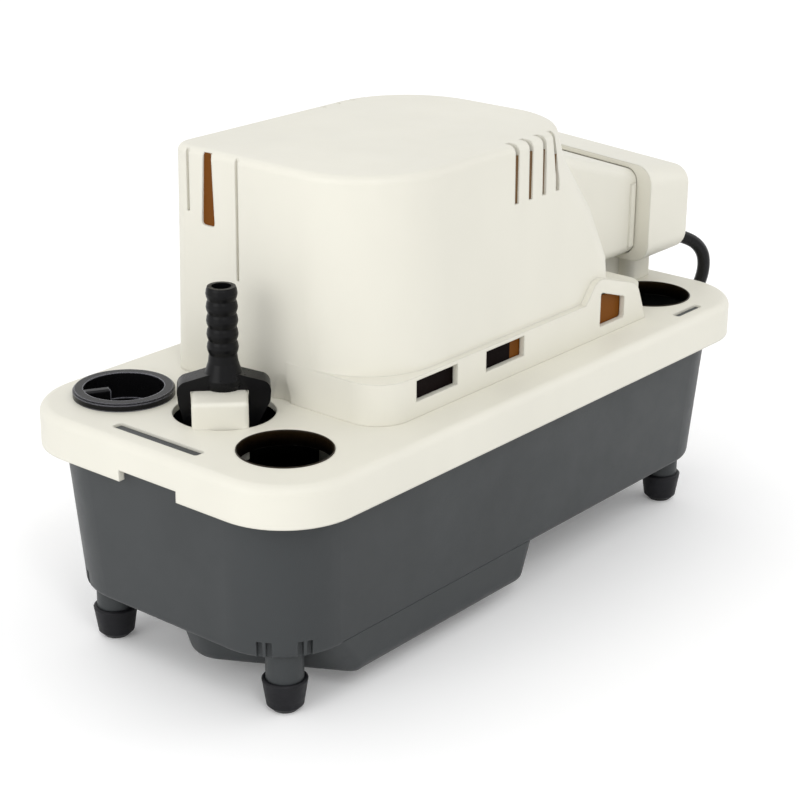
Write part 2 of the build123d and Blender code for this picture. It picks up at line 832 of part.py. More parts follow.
def make_coil():
    """The winding on its bobbin, round the stack's far leg."""
    low = stack_low - coil_side
    high = stack_low + stack_thickness + coil_side
    half = stack_window_width / 2 - coil_fit
    coil = box(stack_window_far - coil_side, stack_far + coil_side, -half, half, low, high)
    coil = fillet(coil.edges().filter_by(Axis.Y), coil_round)
    flange = half - 1.6
    groove = coil - box(stack_window_far - coil_side + 1.2, stack_far + coil_side - 1.2,
                        -half, half, low + 1.2, high - 1.2)
    coil -= groove & box(-deck_length, deck_length, -flange, flange, low - 1, high + 1)
    return coil - box(stack_window_far - coil_fit, stack_far + coil_fit, -half, half,
                      stack_low - coil_fit, stack_low + stack_thickness + coil_fit)


def bracket_screw_y():
    return stack_width / 2 - standoff_inset


def bracket_form():
    """A hat-shaped bearing bracket standing up from the stack's face, drawn with its feet at 0."""
    foot = bracket_screw_y() + 5.0
    crown = bracket_screw_y() - 6.0
    outer = [(-foot, 0), (-foot, bracket_thickness), (-crown - 2, bracket_thickness),
             (-crown + 4, bracket_height), (crown - 4, bracket_height),
             (crown + 2, bracket_thickness), (foot, bracket_thickness), (foot, 0),
             (crown, 0), (crown - 6, bracket_height - bracket_thickness),
             (-crown + 6, bracket_height - bracket_thickness), (-crown, 0)]
    face = Plane.YZ * make_face(Polyline(*outer, close=True).edges())
    strap = Pos(-bracket_width / 2, 0, 0) * extrude(face, amount=bracket_width)
    hub = bearing_radius + 2.0
    strap += post(0, 0, hub, bracket_height - bearing_height, bracket_height)
    strap -= post(0, 0, bearing_radius + bearing_fit, 0, bracket_height)
    for side in (-1, 1):
        strap -= post(0, side * bracket_screw_y(), screw_radius + screw_fit, -1, bracket_thickness + 1)
    return strap


def upper_place():
    return Pos(motor_x, motor_y, stack_low + stack_thickness)


def lower_place():
    return Pos(motor_x, motor_y, stack_low) * Rot(180, 0, 0)


def make_bearing():
    """A sintered bush with rounded flanks, standing where the bracket's hub holds it."""
    low = bracket_height - bearing_height
    return turned([
        (shaft_radius + bearing_fit, low), (bearing_radius - 0.8, low), (bearing_radius, low + 1.2),
        (bearing_radius, bracket_height - 1.2), (bearing_radius - 0.8, bracket_height),
        (shaft_radius + bearing_fit, bracket_height),
    ], 0, 0)


def make_rotor():
    low = stack_low - 1.0
    high = stack_low + stack_thickness + 1.0
    core = turned([
        (shaft_radius, low), (rotor_radius - 4, low), (rotor_radius - 3, low + 1),
        (rotor_radius, low + 1), (rotor_radius, high - 1), (rotor_radius - 3, high - 1),
        (rotor_radius - 4, high), (shaft_radius, high),
    ], motor_x, motor_y)
    return core


def make_shaft():
    shaft = post(motor_x, motor_y, shaft_radius, shaft_bottom, shaft_top)
    return chamfer(shaft.edges(), 0.5)


def make_fan():
    """Hub, back plate and curved blades over the motor."""
    hub = post(motor_x, motor_y, 8.0, fan_level, fan_level + fan_height)
    plate = post(motor_x, motor_y, fan_radius - 1.0, fan_level, fan_level + 1.4)
    fan = hub + plate
    for n in range(fan_blades):
        turn = 360.0 / fan_blades * n
        blade = blade_form(7.0, fan_radius, 9.0, 1.3, fan_height - 1.4)
        fan += Pos(motor_x, motor_y, fan_level + 1.4) * Rot(0, 0, turn) * blade
    return fan - post(motor_x, motor_y, shaft_radius, fan_level - 1, fan_level + fan_height + 1)


def blade_form(inner, outer, bow, thickness, height):
    """A blade bowed in plan, between two radii, standing on Z = 0."""
    middle = (inner + outer) / 2
    front = ThreePointArc((inner, 0), (middle, bow / 2), (outer, bow * 0.3))
    back = ThreePointArc((outer, bow * 0.3 + thickness), (middle, bow / 2 + thickness),
                         (inner, thickness))
    sides = [Line(front @ 1, back @ 0), Line(back @ 1, front @ 0)]
    return extrude(make_face([front, sides[0], back, sides[1]]), height)


def make_standoffs():
    posts = []
    for x, y in stack_screw_places():
        pillar = post(x, y, standoff_radius, deck_top, stack_low)
        posts.append(pillar - post(x, y, screw_radius, deck_top + 8, stack_low))
    return Compound(children=posts)


def make_motor_screws():
    screws = []
    high = stack_low + stack_thickness
    for x, y in stack_screw_places():
        screw = post(x, y, screw_radius - 0.05, stack_low - 12, high)
        head = fillet(post(x, y, screw_head_radius, high, high + screw_head_height).edges()
                      .group_by(Axis.Z)[-1], 0.8)
        screws.append(screw + head)
    for side in (-1, 1):
        y = side * bracket_screw_y()
        low = stack_low - bracket_thickness
        top = high + bracket_thickness
        screw = post(motor_x, y, screw_radius - 0.05, low - 2, top)
        head = fillet(post(motor_x, y, screw_head_radius, top, top + screw_head_height).edges()
                      .group_by(Axis.Z)[-1], 0.8)
        nut = post(motor_x, y, screw_head_radius, low - 2.4, low)
        screws.append(screw + head + nut)
    return Compound(children=screws)


# ================================================================ pump
def duct_turn():
    """How far the pump is turned, so that its straight duct points at the valve's axis."""
    away_x = motor_x - valve_x
    away_y = valve_y - motor_y
    reach = sqrt(away_x ** 2 + away_y ** 2)
    return degrees(asin(duct_offset() / reach)) - degrees(atan2(away_y, away_x))


def duct_offset():
    return volute_start_radius + 3 * volute_growth - duct_bore - 0.5


def duct_level():
    return volute_low + volute_height / 2


def volute_outline(grow, level):
    """Four tangent quarter arcs of growing radius, closed by a straight step at the cutwater."""
    centre_x = 0.0
    centre_y = 0.0
    radius = volute_start_radius + grow
    arcs = []
    angle = 90.0
    for n in range(4):
        arcs.append(CenterArc((centre_x, centre_y), radius, angle, 90))
        angle += 90.0
        centre_x -= volute_growth * cos(radians(angle))
        centre_y -= volute_growth * sin(radians(angle))
        radius += volute_growth
    step = Line(arcs[-1] @ 1, arcs[0] @ 0)
    return Pos(0, 0, level) * make_face(arcs + [step])


def pump_frame():
    """Centred on the shaft, turned so that the duct runs along -X at a positive Y offset."""
    return Pos(motor_x, motor_y, 0) * Rot(0, 0, duct_turn())


def make_volute():
    high = volute_low + volute_height
    casing = extrude(volute_outline(volute_wall, volute_low), volute_height + volute_wall)
    cavity = extrude(volute_outline(0, volute_low), volute_height)
    duct_place = Pos(-duct_length / 2, duct_offset(), duct_level()) * Rot(0, 90, 0)
    duct = duct_place * Cylinder(duct_bore + duct_wall, duct_length)
    bore = Pos(-4, 0, 0) * duct_place * Cylinder(duct_bore, duct_length + 8)
    body = casing + duct - cavity - bore
    column = post(0, 0, column_radius, high, deck_under)
    flange = post(0, 0, column_radius + 7, deck_under - 2.5, deck_under)
    ribs = []
    for n in range(4):
        rib = box(column_radius - 1, column_radius + 6, -1, 1, deck_under - 14, deck_under - 2)
        rib += box(column_radius - 1, column_radius + 8, -1, 1, high + 1, high + 10)
        ribs.append(Rot(0, 0, 45 + 90 * n) * rib)
    body += column + flange
    body += ribs
    body -= post(0, 0, column_bore, high + volute_wall, deck_under)
    body -= post(0, 0, shaft_radius + 0.3, volute_low, deck_under)
    return pump_frame() * body


def make_volute_cover():
    """The plate under the impeller, with its inlet eye and three feet."""
    plate = extrude(volute_outline(volute_wall, volute_low - volute_cover_plate), volute_cover_plate)
    plate -= post(0, 0, eye_radius, volute_low - volute_cover_plate - 1, volute_low + 1)
    for n in range(3):
        foot = post(volute_start_radius - 4, 0, 2.5, sump_floor + tank_wall,
                    volute_low - volute_cover_plate)
        plate += Rot(0, 0, 120 * n + 30) * foot
    return pump_frame() * plate


def make_impeller():
    disc_low = impeller_low + vane_height
    wheel = post(motor_x, motor_y, impeller_radius, disc_low, disc_low + impeller_disc)
    wheel += post(motor_x, motor_y, 5.5, impeller_low - 0.4, disc_low + impeller_disc)
    for n in range(vane_count):
        turn = 360.0 / vane_count * n
        vane = blade_form(4.8, impeller_radius, 7.0, 1.4, vane_height)
        wheel += Pos(motor_x, motor_y, impeller_low) * Rot(0, 0, turn) * vane
    return wheel - post(motor_x, motor_y, shaft_radius, impeller_low - 1, disc_low + 5)


def make_discharge_tube():
    """From the pump's duct along the sump, then up to the nipple under the tower."""
    end = (pump_frame() * Pos(-duct_length + 10.0, duct_offset(), duct_level())).position
    rise = deck_top - tower_drop - 0.2
    corner = Vector(valve_x, valve_y, duct_level())
    bore = duct_bore + duct_wall + tube_fit
    narrow = nipple_radius + tube_fit
    path = FilletPolyline(end, corner, (valve_x, valve_y, rise), radius=tube_bend)
    start = Plane(origin=path @ 0, z_dir=path % 0)
    tube = sweep(start * Circle(bore + tube_wall), path=path)
    tube -= sweep(start * Circle(narrow), path=path)
    way = (corner - end).normalized()
    socket = Plane(origin=end, z_dir=way) * Pos(0, 0, 5.1) * Cylinder(bore, 10.2)
    return tube - socket


# ================================================================ float gear
def make_float():
    low = float_low
    body = box(float_near, float_near + float_length, -float_half_width, float_half_width,
               low, low + float_height)
    body = fillet(body.edges(), float_round)
    slot_near = float_near + float_length - 16
    body -= box(slot_near, float_near + float_length + 1, -arm_width / 2 - 0.2, arm_width / 2 + 0.2,
                low + float_height - 9, low + float_height + 1)
    return body


def make_float_arm():
    """A bent lever: held in the float's slot, hung on the pivot pin, lifting the rod."""
    seat = float_low + float_height - 9 + 0.2
    end = float_near + float_length - 16 + 0.3
    reach = float_near + float_length
    points = [
        (end, seat), (reach + 3, seat), (pivot_x - 3, pivot_z - arm_height / 2),
        (pivot_x + 5, pivot_z - arm_height / 2), (pivot_x + 5, pivot_z + arm_height / 2),
        (pivot_x - rod_arm - 6, pivot_z + arm_height / 2), (reach - 1, seat + arm_height + 1.5),
        (end, seat + arm_height + 1.5),
    ]
    arm = side_profile(points, [0, 4, 3, 2.8, 2.8, 3, 4, 0], -arm_width / 2, arm_width / 2)
    bore = Pos(pivot_x, 0, pivot_z) * Rot(90, 0, 0) * Cylinder(pivot_radius + pivot_fit, 40)
    return arm - bore


def make_pivot_pin():
    half = arm_width / 2 + bracket_gap + bracket_wall
    pin = Pos(pivot_x, 0, pivot_z) * Rot(90, 0, 0) * Cylinder(pivot_radius, 2 * half)
    head = Pos(pivot_x, -half - 0.75, pivot_z) * Rot(90, 0, 0) * Cylinder(pivot_radius + 1.2, 1.5)
    return pin + head


def make_push_rod():
    """The rod that stands on the lever and carries the bar under both switches."""
    x = pivot_x - rod_arm
    low = pivot_z + arm_height / 2 + rod_foot_gap
    rod = post(x, 0, rod_radius, low, crossbar_level)
    rod = fillet(rod.edges().group_by(Axis.Z)[0], rod_radius - 0.1)
    bar = box(x - 3, x + 3, -crossbar_half, crossbar_half, crossbar_level,
              crossbar_level + crossbar_thickness)
    return rod + fillet(bar.edges().filter_by(Axis.Z), 2.0)


def switch_low():
    """The switches' underside: the plungers stay clear of the bar until the float is high."""
    return crossbar_level + crossbar_thickness + rod_lift - plunger_travel + plunger_out + 0.3


def make_switch(side):
    x = pivot_x - rod_arm
    y = side * switch_y
    low = switch_low()
    case = box(x - switch_length / 2, x + switch_length / 2, y - switch_width / 2,
               y + switch_width / 2, low, low + switch_height)
    case = fillet(case.edges().filter_by(Axis.Y), 1.5)
    case -= post(x, y, plunger_radius + plunger_fit, low, low + 6)
    for dx in (-9.0, 0.0, 9.0):
        case += box(x + dx - 0.4, x + dx + 0.4, y - 2.4, y + 2.4, low + switch_height - 0.5,
                    low + switch_height + 3)
    for dx in (-1, 1):
        hole = Pos(x + dx * 11.0, y, low + 5) * Rot(90, 0, 0) * Cylinder(1.5, switch_width + 1)
        case -= hole
    return case


def make_plunger(side):
    x = pivot_x - rod_arm
    tip = switch_low() - plunger_out
    stem = post(x, side * switch_y, plunger_radius, tip, tip + plunger_out + 4)
    return fillet(stem.edges().group_by(Axis.Z)[0], 0.8)


def make_switch_bracket():
    """A bent plate screwed to the box floor that both switches are pinned to."""
    x = pivot_x - rod_arm
    floor = box_floor + box_wall
    low = switch_low()
    inner = switch_y - switch_width / 2
    plate = box(x - 17, x + 17, -inner, inner, low - 1, low + 11)
    plate -= box(x - 4, x + 4, -inner - 1, inner + 1, low - 2, low + 8)
    for side in (-1, 1):
        x0 = x + side * 17
        leg = box(min(x0, x0 - side * 3), max(x0, x0 - side * 3), -inner, inner, floor, low)
        plate += leg
        pad = box(min(x0, x0 + side * 5), max(x0, x0 + side * 5), -inner, inner, floor, floor + 1.6)
        plate += pad
    for dx in (-1, 1):
        pin = Pos(x + dx * 11.0, 0, low + 5) * Rot(90, 0, 0)
        plate += pin * Cylinder(1.4, 2 * (switch_y + switch_width / 2))
    return plate


def make_cover_screws():
    screws = []
    for x, y in cover_screw_places():
        shank = post(x, y, screw_radius - 0.05, deck_under, deck_top + 11)
        head = post(x, y, screw_head_radius, deck_under - screw_head_height, deck_under)
        head = fillet(head.edges().group_by(Axis.Z)[0], 0.8)
        screws.append(shank + head)
    return Compound(children=screws)


# ================================================================ cord
def make_relief():
    """A tapered sleeve from inside the end cap, closed round the cord."""
    frame = relief_frame()
    sleeve = Pos(0, 0, relief_length / 2) * Cone(relief_large, relief_small, relief_length)
    collar = Pos(0, 0, relief_collar_at) * Cylinder(relief_collar_radius, 2.0)
    bore = Cylinder(cord_diameter / 2 + relief_bore_gap, 4 * relief_length)
    return frame * (sleeve + collar - bore)


def route_radii(points):
    """At each corner, 0.45 of its shorter run, over the tangent of half the turn."""
    radii = []
    for before, corner, after in zip(points, points[1:], points[2:]):
        first = corner - before
        second = after - corner
        turn = first.get_angle(second)
        radii.append(0.45 * min(first.length, second.length) / tan(radians(turn / 2)))
    return radii


def make_cord():
    points = [Vector(*relief_start)] + [Vector(*p) for p in cord_route]
    radii = route_radii(points)
    path = FilletPolyline(*points, radius=radii)
    tube = sweep(Plane(origin=path @ 0, z_dir=path % 0) * Circle(cord_diameter / 2), path=path)
    section = pi * cord_diameter ** 2 / 4
    print("cord radii", [round(r, 1) for r in radii])
    print("cord length", round(path.length, 1), "volume ratio", round(tube.volume / section / path.length, 4))
    return tube


def make_cord_coil():
    """The spare length, wound into one neat ring."""
    half = cord_diameter * coil_columns / 2
    inner = coil_mid_radius - half
    outer = coil_mid_radius + half
    top = cord_diameter * coil_layers
    ring = turned([(inner, 0.05), (outer, 0.05), (outer, top), (inner, top)],
                  coil_centre_x, coil_centre_y)
    return fillet(ring.edges(), cord_diameter / 2 - 0.3)


def make_power_plug():
    """A moulded plug lying on the coil, blades towards the near end."""
    top = cord_diameter * coil_layers
    middle = coil_centre_y + plug_offset_y
    centre = coil_centre_x + plug_offset_x
    body = box(centre - plug_body_length / 2, centre + plug_body_length / 2,
               middle - plug_body_width / 2, middle + plug_body_width / 2,
               top, top + plug_body_height)
    body = fillet(body.edges().filter_by(Axis.X), 6.0)
    tail = Pos(centre + plug_body_length / 2 + 7, middle, top + plug_body_height / 2)
    return body + tail * Rot(0, 90, 0) * Cone(5.5, cord_diameter / 2 + 0.6, 14)


def make_plug_blades():
    """Two flat blades and a round earth pin."""
    x0 = coil_centre_x + plug_offset_x - plug_body_length / 2
    middle = coil_centre_y + plug_offset_y
    level = cord_diameter * coil_layers + plug_body_height / 2
    blades = [
        box(x0 - blade_length, x0, middle + y - 0.75, middle + y + 0.75,
            level - 5.0, level + 1.4) for y in (-6.35, 6.35)
    ]
    pin = Pos(x0 - blade_length / 2 - 1.5, middle, level + 5.5) * Rot(0, 90, 0)
    blades.append(pin * Cylinder(2.4, blade_length + 3))
    return Compound(children=blades)


def main():
    cover_outer = cover_form(0, cover_top) + plinth_form(0)
    nodes = {
        "tank": make_tank(),
        "deck_lid": make_deck(),
        "inlet_plug": make_inlet_plug(),
        "check_valve_body": make_check_valve(),
        "valve_seal_ring": make_seal_ring(),
        "valve_poppet": make_poppet(),
        "valve_spring": make_valve_spring(),
        "motor_cover": make_motor_cover(),
        "wiring_box": make_wiring_box(cover_outer),
        "wiring_end_cap": make_end_cap(),
        "stator_stack": make_stator(),
        "motor_coil": make_coil(),
        "upper_bearing_bracket": upper_place() * bracket_form(),
        "lower_bearing_bracket": lower_place() * bracket_form(),
        "upper_bearing": upper_place() * make_bearing(),
        "lower_bearing": lower_place() * make_bearing(),
        "rotor": make_rotor(),
        "motor_shaft": make_shaft(),
        "cooling_fan": make_fan(),
        "motor_standoffs": make_standoffs(),
        "motor_screws": make_motor_screws(),
        "impeller": make_impeller(),
        "volute_housing": make_volute(),
        "volute_cover": make_volute_cover(),
        "discharge_tube": make_discharge_tube(),
        "float": make_float(),
        "float_arm": make_float_arm(),
        "float_pivot_pin": make_pivot_pin(),
        "push_rod": make_push_rod(),
        "pump_switch": make_switch(-1),
        "safety_switch": make_switch(1),
        "pump_switch_plunger": make_plunger(-1),
        "safety_switch_plunger": make_plunger(1),
        "switch_bracket": make_switch_bracket(),
        "cover_screws": make_cover_screws(),
        "cord_strain_relief": make_relief(),
        "power_cord": make_cord(),
        "cord_coil": make_cord_coil(),
        "power_plug": make_power_plug(),
        "plug_blades": make_plug_blades(),
    }
    corner_names = {(-1, -1): "near_right", (-1, 1): "near_left", (1, -1): "far_right", (1, 1): "far_left"}
    for (sx, sy), name in corner_names.items():
        nodes["foot_" + name] = make_foot(sx, sy)
    for name, solid in nodes.items():
        export_step(solid, "parts/" + name + ".step")


main()
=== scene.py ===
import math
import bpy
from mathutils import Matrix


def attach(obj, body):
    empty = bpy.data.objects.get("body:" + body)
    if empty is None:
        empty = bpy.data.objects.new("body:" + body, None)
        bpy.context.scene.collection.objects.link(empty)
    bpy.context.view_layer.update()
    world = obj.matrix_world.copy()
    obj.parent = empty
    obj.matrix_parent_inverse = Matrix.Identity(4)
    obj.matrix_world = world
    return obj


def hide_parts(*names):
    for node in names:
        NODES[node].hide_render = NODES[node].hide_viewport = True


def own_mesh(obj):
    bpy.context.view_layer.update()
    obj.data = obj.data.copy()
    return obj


bl_info = {
    "name": "Condensate pump",
    "version": (1, 0, 0),
    "blender": (4, 5, 0),
    "location": "3D View > Sidebar > Condensate pump",
    "description": "Finishes, cord, windings and stage for a small condensate pump",
    "category": "Object",
}

import bpy
import bmesh
from mathutils import Matrix, Vector

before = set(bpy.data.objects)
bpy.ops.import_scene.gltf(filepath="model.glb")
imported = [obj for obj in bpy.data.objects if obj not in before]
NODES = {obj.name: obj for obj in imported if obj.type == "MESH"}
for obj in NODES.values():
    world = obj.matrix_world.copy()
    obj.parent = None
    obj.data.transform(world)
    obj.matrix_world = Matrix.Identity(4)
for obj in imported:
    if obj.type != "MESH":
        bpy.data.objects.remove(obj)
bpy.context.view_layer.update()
MM = 0.001

HOUSING = "housing"

# The cord's centreline, millimetres: inside the end cap, out, down and back along the floor.
CORD_ROUTE = [
    (130.5, -14.3, 117.7), (152.5, -29.0, 110.8), (160.0, -35.0, 104.0), (161.5, -35.5, 93.0),
    (160.0, -31.0, 80.0), (157.0, -22.0, 60.0), (153.0, -6.0, 38.0), (149.0, 14.0, 18.0),
    (144.0, 36.0, 5.2), (136.0, 58.0, 2.85), (127.0, 78.0, 2.85), (123.0, 97.0, 2.85),
]
# Up off the coil and round into the plug.
CORD_TO_PLUG = [
    (124.2, 124.46, 14.4), (124.2, 132.9, 17.3), (120.6, 141.5, 19.4), (114.1, 148.0, 20.7),
    (105.5, 151.6, 21.2), (96.6, 151.6, 21.2), (90.6, 151.6, 21.2),
]
# The coil on the floor: its middle, and the radius of the outermost turn's centreline.
COIL_CENTRE = (80.0, 118.0)
COIL_OUTER = 43.4
COIL_TURNS = 7.0
COIL_START_DEG = -6.0
TURN_POINTS = 14
# Spacing of the turns and layers, and the height of the lower layer's centreline.
CORD_PITCH = 5.6
CORD_LEVEL = 2.85
# Shares of a turn in which the cord climbs to the second layer, then rises off the coil.
CLIMB_SPAN = 0.36
RISE_SPAN = 0.28
RISE_HEIGHT = 3.4

# The wire tie round the coil, as distances from the coil's middle, its top and its wire's radius.
TIE_ANGLES_DEG = (198, 204)
TIE_INNER = COIL_OUTER - 23.6
TIE_OUTER = COIL_OUTER + 4.0
TIE_TOP = 12.6
TIE_WIRE = 0.9

# Grip bars on top of the plug.
GRIP_COUNT = 6
GRIP_START = 67.0
GRIP_PITCH = 3.0
GRIP_WIDTH = 1.4
GRIP_ENDS = (145.6, 157.6)
GRIP_HEIGHTS = (30.9, 31.7)

# How far an inlet's axis stands to either side, and forward of the middle.
INLET = (113.5, 37.7)
# Section of the rubber ring in an inlet, as radii and heights.
GROMMET_PROFILE = [
    (16.72, 89.5), (16.88, 89.5), (16.88, 94.95), (17.2, 94.95), (17.2, 95.1), (17.05, 95.25),
    (16.9, 95.3), (16.72, 95.1),
]

# Boards behind the cover's openings: name, low and high corner, finish, rounding. The amber ones are
# insulating board; the dark and brown ones are painted shade, sheets standing where the openings show only
# shade.
BOARDS = [
    ("keyhole_board", (-77.65, 17.0, 140.0), (-76.85, 42.0, 179.0), "amber", 0.2),
    # Near-black board: painted shade in the left of the front window.
    ("front_shade_board", (-65.0, -50.9, 94.85), (-3.5, -50.3, 108.1), "dark", 0.0),
    ("front_lead_board", (-3.5, -50.9, 94.85), (46.0, -50.3, 108.1), "amber", 0.0),
    # Brown board behind the vents: painted shade.
    ("vent_shade_board", (-8.0, -42.6, 150.0), (27.0, -41.8, 179.75), "brown", 0.2),
    ("shoulder_board", (49.5, -50.9, 94.85), (72.5, -50.3, 111.0), "amber", 0.2),
]
# Brown strips of painted shade standing in the near side's vents, where the slots' walls are in shade: the
# front face and the top of each.
VENT_SHADE_STRIPS = [(-49.1, 178.0), (-49.1, 178.0), (-48.6, 177.0), (-47.9, 173.5)]
VENT_PITCH = 8.6
VENT_LOW = 159.9
SHADE_STRIP_HALF = 1.2
SHADE_STRIP_THICKNESS = 0.6

# The plate in the keyhole slot: its two corners, millimetres.
KEYHOLE_PLATE = ((-79.4, 26.7, 153.9), (-78.6, 33.3, 181.0))
# Metres: the slot's middle, the height above which the plate narrows, and to what share.
KEYHOLE_MIDDLE = 0.030
KEYHOLE_SPLIT = 0.170
KEYHOLE_NARROWING = 0.63

# The bead that follows the roof edge across the far side's vents.
BRIDGE_LEVEL = 179.0
BRIDGE_RADIUS = 2.97
BRIDGE_STRAIGHT = [(-4.0, 46.5), (2.0, 46.5), (8.0, 46.5)]
BRIDGE_CENTRE = (12.0, 11.5)
BRIDGE_BEND = 35.0
BRIDGE_ANGLES_DEG = (0.0, 8.0, 16.0, 24.0, 32.0)

CAMERA_TARGET = (-25.95, -16.23, 81.96)
# Soft lamps, metres: name, place, aim, size, and share of the key lamp's power.
LAMP_AIM = (0, 0, 0.08)
LAMPS = [
    ("Key lamp", (-0.9, -1.3, 1.5), LAMP_AIM, (0.45, 0.8), 1.0),
    ("Side lamp", (1.4, -0.9, 0.9), LAMP_AIM, (1.0, 1.4), 0.45),
    ("Left lamp", (-1.7, 0.1, 0.7), (0, 0, 0.1), (1.2, 1.0), 1.0),
    ("Back lamp", (0.2, 1.5, 1.3), LAMP_AIM, (1.4, 1.0), 0.4),
]
FLOOR_SIZE = 14.0
# Extra white that only the camera sees on the floor.
FLOOR_LIFT = 0.09


# ------------------------------------------------------------------ helpers
def deselect():
    if bpy.context.mode != "OBJECT":
        bpy.ops.object.mode_set(mode="OBJECT")
    bpy.ops.object.select_all(action="DESELECT")


def only(obj):
    """Make one object the only selected and the active one."""
    deselect()
    obj.select_set(True)
    bpy.context.view_layer.objects.active = obj


def settle(obj):
    """Move the object's place into its mesh."""
    only(obj)
    bpy.ops.object.transform_apply(location=True, rotation=True, scale=True)


def dress(obj, name, body, material):
    """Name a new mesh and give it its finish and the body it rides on."""
    obj.name = name
    obj.data.name = name
    obj.data.materials.clear()
    obj.data.materials.append(material)
    settle(obj)
    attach(obj, body)
    return obj


def block(name, low, high, material, slot, rounding=0.0):
    """A box between two corners in millimetres, its edges rounded."""
    middle = [(a + b) / 2 * MM for a, b in zip(low, high)]
    deselect()
    bpy.ops.mesh.primitive_cube_add(size=1.0, location=middle)
    obj = bpy.context.object
    obj.scale = [(b - a) * MM for a, b in zip(low, high)]
    settle(obj)
    if rounding:
        round_off(obj, rounding, 3)
    return dress(obj, name, HOUSING, material)


def round_off(obj, width, segments):
    """Round an object's sharp edges by a width in millimetres."""
    modifier = obj.modifiers.new("Round", "BEVEL")
    modifier.width = width * MM
    modifier.segments = segments
    modifier.limit_method = "ANGLE"
    only(obj)
    bpy.ops.object.modifier_apply(modifier=modifier.name)


def lathe(name, profile, centre, material, sides=96):
    """A closed profile of (radius, height) turned about an upright axis, millimetres."""
    mesh = bpy.data.meshes.new(name)
    shape = bmesh.new()
    rings = []
    for step in range(sides):
        angle = step * math.tau / sides
        rings.append([shape.verts.new((
            (centre[0] + r * math.cos(angle)) * MM, (centre[1] + r * math.sin(angle)) * MM, z * MM))
            for r, z in profile])
    for a, b in zip(rings, rings[1:] + rings[:1]):
        for n in range(len(profile)):
            m = (n + 1) % len(profile)
            face = shape.faces.new((a[n], b[n], b[m], a[m]))
            face.smooth = True
    bmesh.ops.recalc_face_normals(shape, faces=shape.faces)
    shape.to_mesh(mesh)
    shape.free()
    obj = bpy.data.objects.new(name, mesh)
    bpy.context.scene.collection.objects.link(obj)
    return dress(obj, name, HOUSING, material)


def dress_curve(curve, material):
    """Give a curve on the housing its finish."""
    curve.data.materials.append(material)
    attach(curve, HOUSING)
    return curve


def finish_nodes(material, *names):
    """Give nodes of the frame a finish."""
    for name in names:
        mesh = NODES[name].data
        mesh.materials.clear()
        mesh.materials.append(material)


# ------------------------------------------------------------------ materials
class Finish:
    """A node material with a few ways to add to it."""

    def __init__(self, name):
        self.material = bpy.data.materials.new(name)
        self.material.use_nodes = True
        self.tree = self.material.node_tree
        self.shader = self.tree.nodes["Principled BSDF"]
        self.coords = self.node("ShaderNodeTexCoord").outputs["Object"]

    def node(self, kind, **settings):
        made = self.tree.nodes.new(kind)
        for key, value in settings.items():
            setattr(made, key, value)
        return made

    def link(self, source, target):
        self.tree.links.new(source, target)

    def set(self, **sockets):
        for key, value in sockets.items():
            self.shader.inputs[key.replace("_", " ")].default_value = value
        return self

    def noise(self, scale, detail=2.0, rough=0.5, stretch=None):
        noise = self.node("ShaderNodeTexNoise")
        noise.inputs["Scale"].default_value = scale
        noise.inputs["Detail"].default_value = detail
        noise.inputs["Roughness"].default_value = rough
        source = self.coords
        if stretch:
            mapping = self.node("ShaderNodeMapping")
            mapping.inputs["Scale"].default_value = stretch
            self.link(source, mapping.inputs["Vector"])
            source = mapping.outputs["Vector"]
        self.link(source, noise.inputs["Vector"])
        return noise.outputs["Fac"]

    def ramp(self, value, low, high, a, b):
        ramp = self.node("ShaderNodeMapRange")
        ramp.inputs["From Min"].default_value = low
        ramp.inputs["From Max"].default_value = high
        ramp.inputs["To Min"].default_value = a
        ramp.inputs["To Max"].default_value = b
        self.link(value, ramp.inputs["Value"])
        return ramp.outputs["Result"]

    def mix(self, amount, a, b):
        mix = self.node("ShaderNodeMix", data_type="RGBA")
        for socket, value in ((mix.inputs[0], amount), (mix.inputs[6], a), (mix.inputs[7], b)):
            if isinstance(value, (int, float)):
                socket.default_value = value
            elif isinstance(value, (tuple, list)):
                socket.default_value = (*value[:3], 1.0)
            else:
                self.link(value, socket)
        return mix.outputs[2]

    def colour(self, value):
        if isinstance(value, (tuple, list)):
            self.shader.inputs["Base Color"].default_value = (*value[:3], 1.0)
        else:
            self.link(value, self.shader.inputs["Base Color"])
        return self

    def roughness(self, value):
        self.link(value, self.shader.inputs["Roughness"])
        return self

    def bump(self, height, depth, strength=1.0, edge=0.0):
        bump = self.node("ShaderNodeBump")
        bump.inputs["Distance"].default_value = depth
        bump.inputs["Strength"].default_value = strength
        self.link(height, bump.inputs["Height"])
        if edge:
            bevel = self.node("ShaderNodeBevel", samples=4)
            bevel.inputs["Radius"].default_value = edge
            self.link(bevel.outputs["Normal"], bump.inputs["Normal"])
        self.link(bump.outputs["Normal"], self.shader.inputs["Normal"])
        return self

    def edges(self, radius):
        """1 along convex and concave edges, 0 on open faces."""
        bevel = self.node("ShaderNodeBevel", samples=4)
        bevel.inputs["Radius"].default_value = radius
        geometry = self.node("ShaderNodeNewGeometry")
        dot = self.node("ShaderNodeVectorMath", operation="DOT_PRODUCT")
        self.link(bevel.outputs["Normal"], dot.inputs[0])
        self.link(geometry.outputs["Normal"], dot.inputs[1])
        return self.ramp(dot.outputs["Value"], 0.995, 0.80, 0.0, 1.0)


def tint(colour, factor):
    return tuple(min(1.0, c * factor) for c in colour)


